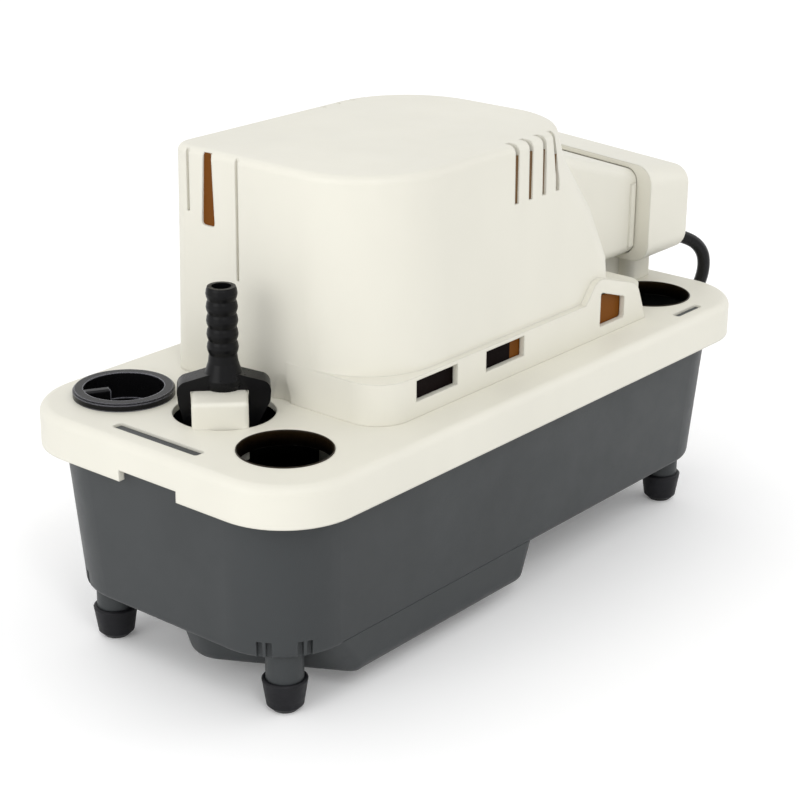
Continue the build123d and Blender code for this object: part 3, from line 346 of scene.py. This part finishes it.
def moulded(name, colour, rough, grain, grain_depth, edge, specular=0.5, mottling=0.05, edge_wear_and_highlight=0.0):
    """Injection-moulded plastic: spark-eroded grain, slight flow mottling, softened edges."""
    finish = Finish(name)
    flow = finish.noise(14.0, 3.0, 0.6, (1.0, 1.0, 0.45))
    shade = finish.ramp(flow, 0.35, 0.65, 0.0, 1.0)
    base = finish.mix(shade, tint(colour, 1.0 - mottling), tint(colour, 1.0 + mottling * 0.5))
    # Edges painted lighter: a painted highlight along the inlet plug's rim, a slight lightening of the
    # tank's edges.
    if edge_wear_and_highlight:
        wear_and_highlight_edges = finish.edges(edge * 1.6)
        base = finish.mix(wear_and_highlight_edges, base, tint(colour, 1.0 + edge_wear_and_highlight))
    finish.colour(base)
    smear = finish.noise(60.0, 4.0, 0.65)
    finish.roughness(finish.ramp(smear, 0.3, 0.7, rough - 0.05, rough + 0.07))
    fine = finish.noise(grain, 2.0, 0.7)
    finish.bump(fine, grain_depth, 1.0, edge)
    finish.set(Specular_IOR_Level=specular)
    return finish.material


def board_plastic(name, colour, rough, specular):
    """Flat board, dull and mottled: the amber insulating board, and the dark and brown boards of painted
    shade.
    """
    return moulded(name, colour, rough, 700.0, 0.00004, 0.0, specular, 0.18)


def rubber(name, colour, rough):
    """Soft rubber with a trace of dust."""
    finish = Finish(name)
    dust = finish.ramp(finish.noise(90.0, 4.0, 0.7), 0.45, 0.75, 0.0, 1.0)
    finish.colour(finish.mix(dust, colour, tint(colour, 1.6)))
    finish.roughness(finish.ramp(finish.noise(240.0, 3.0, 0.6), 0.3, 0.7, rough - 0.08, rough + 0.08))
    finish.bump(finish.noise(1800.0, 2.0, 0.6), 0.00006, 0.8, 0.0005)
    finish.set(Specular_IOR_Level=0.2)
    return finish.material


def metal(name, colour, rough, lines, stretch, depth=0.00002):
    """Drawn or turned metal with fine streaks."""
    finish = Finish(name)
    streak = finish.noise(lines, 3.0, 0.6, stretch)
    shade = finish.ramp(streak, 0.3, 0.7, 0.0, 1.0)
    finish.colour(finish.mix(shade, tint(colour, 0.82), tint(colour, 1.08)))
    finish.roughness(finish.ramp(streak, 0.3, 0.7, rough - 0.08, rough + 0.1))
    finish.bump(streak, depth, 0.8, 0.0003)
    finish.set(Metallic=1.0)
    return finish.material


def laminated(name, colour, pitch, depth):
    """Stacked steel laminations: dark seams at a regular height."""
    finish = Finish(name)
    wave = finish.node("ShaderNodeTexWave", wave_type="BANDS", bands_direction="Z", wave_profile="SAW")
    wave.inputs["Scale"].default_value = 1.0 / (2.0 * pitch)
    wave.inputs["Distortion"].default_value = 0.0
    finish.link(finish.coords, wave.inputs["Vector"])
    rust = finish.ramp(finish.noise(120.0, 5.0, 0.7), 0.55, 0.8, 0.0, 1.0)
    lines = finish.ramp(wave.outputs["Fac"], 0.0, 0.35, 0.35, 1.0)
    tone = finish.mix(lines, tint(colour, 0.3), colour)
    finish.colour(finish.mix(rust, tone, (0.23, 0.11, 0.05)))
    finish.roughness(finish.ramp(rust, 0.0, 1.0, 0.38, 0.8))
    finish.bump(wave.outputs["Fac"], depth, 0.7)
    finish.set(Metallic=0.7)
    return finish.material


# ------------------------------------------------------------------ settings
def colour_prop(name, description, value):
    return bpy.props.FloatVectorProperty(
        name=name, description=description, default=value, subtype="COLOR", size=3, min=0.0, max=1.0)


class PumpFinishes(bpy.types.PropertyGroup):
    shell: colour_prop("Shell", "Cover, deck and wiring box plastic", (0.738, 0.720, 0.636))
    tank: colour_prop("Tank", "Tank plastic", (0.038, 0.042, 0.044))
    fittings: colour_prop("Fittings", "Check valve and inlet plug plastic", (0.0040, 0.0040, 0.0045))
    feet: colour_prop("Feet", "Rubber of the four feet", (0.010, 0.010, 0.012))
    natural: colour_prop("Natural", "Unpigmented plastic inside", (0.74, 0.74, 0.70))
    copper: colour_prop("Windings", "Varnished winding wire", (0.36, 0.115, 0.035))
    board: colour_prop("Insulation", "Insulating board round the motor", (0.165, 0.052, 0.003))


class PumpCord(bpy.types.PropertyGroup):
    diameter: bpy.props.FloatProperty(
        name="Diameter", description="Outside diameter of the mains cord", default=5.6 * MM,
        min=0.003, max=0.012, unit="LENGTH", precision=4)
    length: bpy.props.FloatProperty(
        name="Length", description="Whole length from the end cap to the plug", default=1.75,
        min=0.3, max=6.0, unit="LENGTH")


class PumpStage(bpy.types.PropertyGroup):
    floor: colour_prop("Floor", "Colour of the floor", (0.985, 0.985, 0.985))
    key: bpy.props.FloatProperty(
        name="Key lamp", description="Power of the main soft lamp", default=7.4, min=0.0, unit="POWER")
    fill: bpy.props.FloatProperty(
        name="Fill", description="Strength of the even light all round", default=0.84, min=0.0)
    azimuth: bpy.props.FloatProperty(
        name="Azimuth", description="Camera's turn round the pump, 0 in front",
        default=math.radians(-50.51), unit="ROTATION")
    elevation: bpy.props.FloatProperty(
        name="Elevation", description="Camera's height angle", default=math.radians(21.03), unit="ROTATION")
    roll: bpy.props.FloatProperty(
        name="Roll", description="Camera's turn about its own axis", default=math.radians(0.447),
        unit="ROTATION")
    distance: bpy.props.FloatProperty(
        name="Distance", description="Camera's distance from its target", default=0.76479,
        min=0.1, unit="LENGTH")
    lens: bpy.props.FloatProperty(
        name="Lens", description="Focal length on a 36 mm sensor", default=89.99, min=10.0, unit="CAMERA")


def finishes():
    return bpy.context.scene.pump_finishes


# ------------------------------------------------------------------ pieces
class PUMP_OT_shell(bpy.types.Operator):
    """Finish the cover, deck, wiring box and its cap"""
    bl_idname = "pump.shell"
    bl_label = "Shell finishes"

    def execute(self, context):
        shell = moulded("Ivory moulded plastic", tuple(finishes().shell), 0.46, 2600.0, 0.00003,
                        0.0009, 0.42, 0.03)
        finish_nodes(shell, "motor_cover", "deck_lid", "wiring_box", "wiring_end_cap",
                     "motor_standoffs", "volute_housing", "volute_cover")
        return {"FINISHED"}


class PUMP_OT_tank(bpy.types.Operator):
    """Finish the tank and its feet"""
    bl_idname = "pump.tank"
    bl_label = "Tank finishes"

    def execute(self, context):
        tank = moulded("Graphite moulded plastic", tuple(finishes().tank), 0.42, 2200.0, 0.00005,
                       0.0008, 0.32, 0.10, 0.25)
        finish_nodes(tank, "tank")
        finish_nodes(rubber("Foot rubber", tuple(finishes().feet), 0.48),
                     "foot_near_right", "foot_near_left", "foot_far_right", "foot_far_left")
        return {"FINISHED"}


class PUMP_OT_fittings(bpy.types.Operator):
    """Finish the check valve, the inlet plug and the small parts inside"""
    bl_idname = "pump.fittings"
    bl_label = "Fitting finishes"

    def execute(self, context):
        black = moulded("Black moulded plastic", tuple(finishes().fittings), 0.30, 1500.0, 0.00002,
                        0.0, 0.14, 0.1)
        finish_nodes(black, "check_valve_body", "discharge_tube", "pump_switch", "safety_switch")
        # The inlet plug's edges are tinted far lighter: a painted highlight along its rim.
        highlit_black = moulded("Black moulded plastic, painted edge highlight", tuple(finishes().fittings), 0.24, 1500.0,
                         0.00003, 0.0005, 0.15, 0.1, 80.0)
        finish_nodes(highlit_black, "inlet_plug")
        natural = moulded("Natural plastic", tuple(finishes().natural), 0.4, 1800.0, 0.00003,
                          0.0005, 0.5, 0.04)
        finish_nodes(natural, "valve_poppet", "cooling_fan", "impeller", "float", "float_arm",
                     "push_rod", "pump_switch_plunger", "safety_switch_plunger")
        finish_nodes(rubber("Seal rubber", (0.012, 0.012, 0.013), 0.55), "valve_seal_ring")
        return {"FINISHED"}


class PUMP_OT_metalwork(bpy.types.Operator):
    """Finish the motor's steel, brass and laminations"""
    bl_idname = "pump.metalwork"
    bl_label = "Metal finishes"

    def execute(self, context):
        steel = metal("Zinc plated steel", (0.56, 0.56, 0.55), 0.34, 420.0, (1.0, 1.0, 6.0))
        finish_nodes(steel, "upper_bearing_bracket", "lower_bearing_bracket", "motor_shaft",
                     "motor_screws", "switch_bracket", "cover_screws", "float_pivot_pin", "valve_spring")
        brass = metal("Brass", (0.70, 0.49, 0.20), 0.28, 500.0, (1.0, 5.0, 5.0))
        finish_nodes(brass, "upper_bearing", "lower_bearing", "plug_blades")
        finish_nodes(laminated("Motor laminations", (0.30, 0.30, 0.31), 0.0008, 0.0001),
                     "stator_stack", "rotor")
        finish = Finish("Varnished windings")
        copper = tuple(finishes().copper)
        wires = finish.noise(900.0, 2.0, 0.5, (0.02, 0.02, 1.0))
        shade = finish.ramp(wires, 0.35, 0.65, 0.0, 1.0)
        finish.colour(finish.mix(shade, tint(copper, 0.55), tint(copper, 1.3)))
        finish.bump(wires, 0.0003)
        finish.set(Roughness=0.3, Coat_Weight=0.6)
        finish_nodes(finish.material, "motor_coil")
        self.spring()
        return {"FINISHED"}

    def spring(self):
        """A copy of the check valve's spring, riding on the check valve."""
        node = NODES["valve_spring"]
        mesh = node.data.copy()
        mesh.transform(node.matrix_world)
        coil = bpy.data.objects.new("valve_coil_spring", mesh)
        bpy.context.scene.collection.objects.link(coil)
        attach(coil, "check_valve")
        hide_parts("valve_spring")
        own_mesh(coil)


class PUMP_OT_insulation(bpy.types.Operator):
    """Add the boards that show in the cover's openings, the amber ones insulation and the dark and brown
    ones painted shade, brown strips of painted shade in the vents, and the inlet grommets
    """
    bl_idname = "pump.insulation"
    bl_label = "Insulation and seals"

    def execute(self, context):
        finish = {
            "amber": board_plastic("Amber insulating board", tuple(finishes().board), 0.5, 0.1),
            # Near-black: painted shade.
            "dark": board_plastic("Dark board, painted shade", (0.0035, 0.0010, 0.0010), 0.6, 0.05),
            # Brown: painted shade in the vents.
            "brown": board_plastic("Brown board, painted shade", (0.16, 0.090, 0.040), 0.5, 0.1),
        }
        for name, low, high, tone, rounding in BOARDS:
            block(name, low, high, finish[tone], "white_plastic", rounding)
        # Brown strips in the vents: painted shade.
        for n, (front, top) in enumerate(VENT_SHADE_STRIPS):
            x = VENT_PITCH * n
            block(f"vent_shade_strip_{n}", (x - SHADE_STRIP_HALF, front, VENT_LOW),
                  (x + SHADE_STRIP_HALF, front + SHADE_STRIP_THICKNESS, top), finish["brown"], "white_plastic")
        self.keyhole(finish["amber"])
        self.bridge()
        seal = rubber("Inlet grommet rubber", (0.014, 0.008, 0.003), 0.35)
        for name, x in (("inlet_grommet_near", -INLET[0]), ("inlet_grommet_far", INLET[0])):
            lathe(name, GROMMET_PROFILE, (x, -INLET[1]), seal)
        return {"FINISHED"}

    def keyhole(self, material):
        """A plate in the keyhole slot, narrowing upwards with it."""
        plate = block("keyhole_plate", *KEYHOLE_PLATE, material, "white_plastic")
        for vertex in plate.data.vertices:
            if vertex.co.z > KEYHOLE_SPLIT:
                vertex.co.y = KEYHOLE_MIDDLE + (vertex.co.y - KEYHOLE_MIDDLE) * KEYHOLE_NARROWING

    def bridge(self):
        """Close the roof ends of the far side's vents."""
        route = list(BRIDGE_STRAIGHT)
        for angle in BRIDGE_ANGLES_DEG:
            turn = math.radians(angle)
            route.append((BRIDGE_CENTRE[0] + BRIDGE_BEND * math.sin(turn),
                          BRIDGE_CENTRE[1] + BRIDGE_BEND * math.cos(turn)))
        bead = spline_object("far_vent_bridge", [(x, y, BRIDGE_LEVEL) for x, y in route],
                             BRIDGE_RADIUS * MM, 12, 8)
        dress_curve(bead, NODES["motor_cover"].data.materials[0])


def coil_points():
    """The turns, in along the floor layer and out again along the one above it."""
    points = []
    count = int(COIL_TURNS * TURN_POINTS)
    for step in range(count + 1):
        turn = step / TURN_POINTS
        half = COIL_TURNS / 2
        reach = COIL_OUTER - CORD_PITCH * min(turn, COIL_TURNS - turn)
        climb = min(max((turn - half + CLIMB_SPAN / 2) / CLIMB_SPAN, 0.0), 1.0)
        level = CORD_LEVEL + CORD_PITCH * climb * climb * (3 - 2 * climb)
        rise = max(0.0, (turn - COIL_TURNS + RISE_SPAN) / RISE_SPAN)
        level += RISE_HEIGHT * rise * rise
        angle = math.radians(COIL_START_DEG) + turn * math.tau
        points.append((COIL_CENTRE[0] + reach * math.cos(angle),
                       COIL_CENTRE[1] + reach * math.sin(angle), level))
    return points


def spline_object(name, points, radius, resolution=10, sides=5):
    """A round cord along control points given in millimetres."""
    curve = bpy.data.curves.new(name, "CURVE")
    curve.dimensions = "3D"
    curve.bevel_depth = radius
    curve.bevel_resolution = sides
    curve.resolution_u = resolution
    curve.use_fill_caps = True
    spline = curve.splines.new("NURBS")
    spline.points.add(len(points) - 1)
    for point, place in zip(spline.points, points):
        point.co = (place[0] * MM, place[1] * MM, place[2] * MM, 1.0)
    spline.order_u = 3
    spline.use_endpoint_u = True
    obj = bpy.data.objects.new(name, curve)
    bpy.context.scene.collection.objects.link(obj)
    return obj


class PUMP_OT_cord(bpy.types.Operator):
    """Lay the mains cord, its coil, tie and plug"""
    bl_idname = "pump.cord"
    bl_label = "Mains cord"

    def execute(self, context):
        settings = context.scene.pump_cord
        sheath = moulded("Cord sheath", (0.005, 0.005, 0.0055), 0.26, 1400.0, 0.00004, 0.0004, 0.22, 0.1)
        route = CORD_ROUTE + coil_points() + CORD_TO_PLUG
        cord = spline_object("mains_cord", route, settings.diameter / 2)
        finish_nodes(sheath, "cord_strain_relief", "power_plug")
        for n in range(GRIP_COUNT):
            x = GRIP_START + GRIP_PITCH * n
            block(f"plug_grip_{n}", (x, GRIP_ENDS[0], GRIP_HEIGHTS[0]),
                  (x + GRIP_WIDTH, GRIP_ENDS[1], GRIP_HEIGHTS[1]), sheath, "cord_sheath", 0.3)
        self.tie()
        dress_curve(cord, sheath)
        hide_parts("power_cord", "cord_coil")
        return {"FINISHED"}

    def tie(self):
        """Two loops of plastic covered wire round the coil."""
        material = moulded("Tie", (0.62, 0.62, 0.58), 0.4, 1200.0, 0.00002, 0.0002, 0.4, 0.05)
        ring = [(TIE_INNER, 1.0), (TIE_INNER, TIE_TOP - 1.0), (TIE_INNER + 1.5, TIE_TOP),
                (TIE_OUTER - 2.5, TIE_TOP), (TIE_OUTER, TIE_TOP - 3.0), (TIE_OUTER, 1.0),
                ((TIE_INNER + TIE_OUTER) / 2, 0.95), (TIE_INNER + 0.8, 0.95)]
        for number, degrees in enumerate(TIE_ANGLES_DEG):
            angle = math.radians(degrees)
            loop = [(COIL_CENTRE[0] + r * math.cos(angle), COIL_CENTRE[1] + r * math.sin(angle), z)
                    for r, z in ring]
            wire = spline_object(f"cord_tie_{number}", loop, TIE_WIRE * MM, 6, 3)
            wire.data.splines[0].use_endpoint_u = False
            wire.data.splines[0].use_cyclic_u = True
            dress_curve(wire, material)


# ------------------------------------------------------------------ stage
def area_lamp(name, place, aim, size, power):
    data = bpy.data.lights.new(name, "AREA")
    data.shape = "RECTANGLE"
    data.size, data.size_y = size
    data.energy = power
    lamp = bpy.data.objects.new(name, data)
    bpy.context.scene.collection.objects.link(lamp)
    lamp.location = place
    lamp.rotation_euler = (Vector(aim) - Vector(place)).to_track_quat("-Z", "Y").to_euler()
    return lamp


class PUMP_OT_stage(bpy.types.Operator):
    """Set the camera, lamps, world and floor"""
    bl_idname = "pump.stage"
    bl_label = "Stage"

    def execute(self, context):
        stage = context.scene.pump_stage
        scene = context.scene
        azimuth, elevation = stage.azimuth, stage.elevation
        back = Vector((math.sin(azimuth) * math.cos(elevation),
                       -math.cos(azimuth) * math.cos(elevation), math.sin(elevation)))
        target = Vector(CAMERA_TARGET) * MM
        right = (-back).cross(Vector((0, 0, 1))).normalized()
        up = right.cross(-back)
        roll_cos, roll_sin = math.cos(stage.roll), math.sin(stage.roll)
        side = right * roll_cos + up * roll_sin
        over = up * roll_cos - right * roll_sin
        data = bpy.data.cameras.new("Camera")
        data.lens = stage.lens
        data.sensor_width = 36.0
        data.clip_start = 0.01
        data.clip_end = 30.0
        camera = bpy.data.objects.new("Camera", data)
        scene.collection.objects.link(camera)
        place = target + back * stage.distance
        camera.matrix_world = Matrix((
            (side.x, over.x, back.x, place.x), (side.y, over.y, back.y, place.y),
            (side.z, over.z, back.z, place.z), (0, 0, 0, 1)))
        scene.camera = camera

        for name, spot, aim, size, share in LAMPS:
            area_lamp(name, spot, aim, size, stage.key * share)

        world = bpy.data.worlds.new("Studio")
        scene.world = world
        world.use_nodes = True
        tree = world.node_tree
        soft = tree.nodes["Background"]
        soft.inputs["Color"].default_value = (1, 1, 1, 1)
        soft.inputs["Strength"].default_value = stage.fill
        white = tree.nodes.new("ShaderNodeBackground")
        white.inputs["Color"].default_value = (1, 1, 1, 1)
        white.inputs["Strength"].default_value = 1.0
        path = tree.nodes.new("ShaderNodeLightPath")
        seen = tree.nodes.new("ShaderNodeMath")
        seen.operation = "MAXIMUM"
        tree.links.new(path.outputs["Is Camera Ray"], seen.inputs[0])
        tree.links.new(path.outputs["Is Glossy Ray"], seen.inputs[1])
        mix = tree.nodes.new("ShaderNodeMixShader")
        tree.links.new(seen.outputs[0], mix.inputs[0])
        tree.links.new(soft.outputs[0], mix.inputs[1])
        tree.links.new(white.outputs[0], mix.inputs[2])
        tree.links.new(mix.outputs[0], tree.nodes["World Output"].inputs["Surface"])

        bpy.ops.mesh.primitive_plane_add(size=FLOOR_SIZE, location=(0, 0, 0))
        floor = context.object
        floor.name = "floor"
        paper = bpy.data.materials.new("Floor paper")
        paper.use_nodes = True
        shader = paper.node_tree.nodes["Principled BSDF"]
        shader.inputs["Base Color"].default_value = (*stage.floor, 1.0)
        shader.inputs["Roughness"].default_value = 0.9
        shader.inputs["Emission Color"].default_value = (1, 1, 1, 1)
        floor_path = paper.node_tree.nodes.new("ShaderNodeLightPath")
        lift = paper.node_tree.nodes.new("ShaderNodeMath")
        lift.operation = "MULTIPLY"
        lift.inputs[1].default_value = FLOOR_LIFT
        paper.node_tree.links.new(floor_path.outputs["Is Camera Ray"], lift.inputs[0])
        paper.node_tree.links.new(lift.outputs[0], shader.inputs["Emission Strength"])
        floor.data.materials.append(paper)
        scene.view_settings.view_transform = "Standard"
        return {"FINISHED"}


class PUMP_PT_panel(bpy.types.Panel):
    bl_label = "Condensate pump"
    bl_idname = "PUMP_PT_panel"
    bl_space_type = "VIEW_3D"
    bl_region_type = "UI"
    bl_category = "Condensate pump"

    def draw(self, context):
        layout = self.layout
        for group in (context.scene.pump_finishes, context.scene.pump_cord, context.scene.pump_stage):
            column = layout.column(align=True)
            for key in group.__annotations__:
                column.prop(group, key)
        for operator in OPERATORS:
            layout.operator(operator.bl_idname)


GROUPS = {"pump_finishes": PumpFinishes, "pump_cord": PumpCord, "pump_stage": PumpStage}
OPERATORS = [PUMP_OT_stage, PUMP_OT_cord, PUMP_OT_shell, PUMP_OT_tank, PUMP_OT_fittings,
             PUMP_OT_metalwork, PUMP_OT_insulation]


def register():
    for cls in (*GROUPS.values(), *OPERATORS, PUMP_PT_panel):
        bpy.utils.register_class(cls)
    for name, cls in GROUPS.items():
        setattr(bpy.types.Scene, name, bpy.props.PointerProperty(type=cls))


def unregister():
    for name in GROUPS:
        delattr(bpy.types.Scene, name)
    for cls in (PUMP_PT_panel, *reversed(OPERATORS), *reversed(GROUPS.values())):
        bpy.utils.unregister_class(cls)


def main():
    register()
    for operator in OPERATORS:
        group, call = operator.bl_idname.split(".")
        getattr(getattr(bpy.ops, group), call)()
    bpy.context.view_layer.update()


if __name__ == "__main__":
    main()
